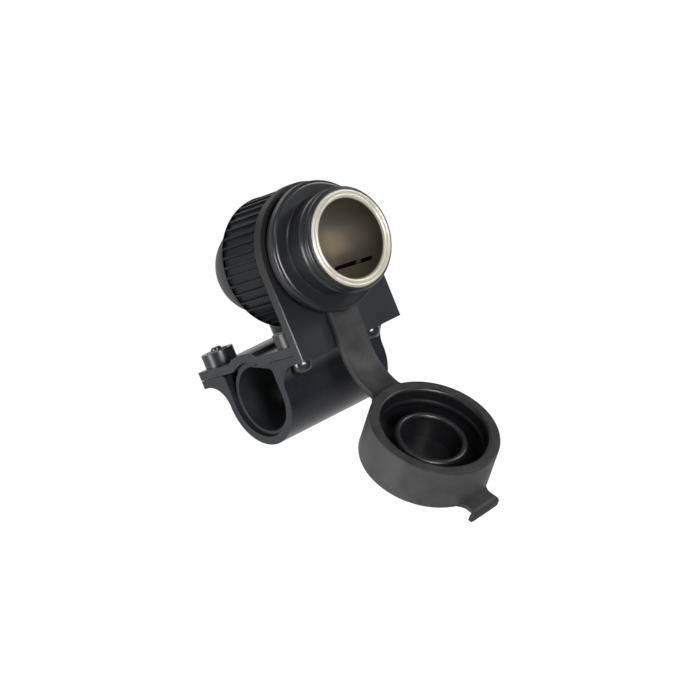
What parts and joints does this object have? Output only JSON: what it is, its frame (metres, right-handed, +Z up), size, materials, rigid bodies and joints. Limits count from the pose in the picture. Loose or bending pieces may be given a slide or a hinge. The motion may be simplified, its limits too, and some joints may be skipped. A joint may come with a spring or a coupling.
{
  "type": "handlebar clamp power socket",
  "caption": "Handlebar clamp holding a round lighter-type power socket in a face plate, with a ribbed ring nut, a rear boot and a tethered rubber dust cap hanging open.",
  "frame": {"origin": "centre of the clamp's round opening, midway along its width", "axes": "+X along the handlebar, -Y is the way the socket mouth faces, +Z up from the bar to the socket"},
  "size_m": [0.0386, 0.0767, 0.096],
  "materials": {
    "bracket_plastic": "moulded black plastic, matt front with a bright front-left edge",
    "saddle_plastic": "moulded black plastic, satin",
    "sleeve_rubber": "black rubber, matt",
    "black_screw": "black finish, glossy button heads",
    "nut_steel": "plated steel",
    "body_plastic": "black plastic, semi-gloss",
    "shell_metal": "warm nickel plate",
    "spring_steel": "plated spring strip",
    "insulator": "brown laminate",
    "contact_brass": "brass, plain",
    "rivet_steel": "plated steel",
    "blade_brass": "brass, plain",
    "blade_steel": "tinned",
    "nut_plastic": "black plastic, satin",
    "boot_rubber": "black rubber, smooth",
    "cap_rubber": "dark grey rubber, matt"
  },
  "bodies": {
    "holder": {"bracket": "bracket_plastic", "clamp_saddle": "saddle_plastic", "upper_pad": "sleeve_rubber", "lower_pad": "sleeve_rubber", "clamp_screws": "black_screw", "clamp_nuts": "nut_steel", "socket_body": "body_plastic", "socket_shell": "shell_metal", "side_springs": "spring_steel", "insulator_disc": "insulator", "centre_contact": "contact_brass", "contact_rivet": "rivet_steel", "positive_blade": "blade_brass", "negative_blade": "blade_steel", "ground_rivet": "rivet_steel", "ring_nut": "nut_plastic", "rear_boot": "boot_rubber", "cable_grommet": "boot_rubber", "cap_ring": "cap_rubber"},
    "tether": {"cap_strap": "cap_rubber"},
    "cap": {"dust_cap": "cap_rubber"}
  },
  "joints": [
    {"name": "cap_swing", "type": "hinge", "parent": "holder", "child": "tether", "pos_m": [-0.00143, -0.03264, 0.00472], "axis": [-0.9986, 0, 0.0523], "range_deg": [-15, 138.7], "stiffness_Nm_per_rad": 0.02, "deforming": ["cap_strap"]},
    {"name": "cap_press", "type": "slide", "parent": "tether", "child": "cap", "axis": [0.0345, -0.7513, 0.6591], "range_m": [0, 0.01105], "stiffness_N_per_m": 60}
  ]
}
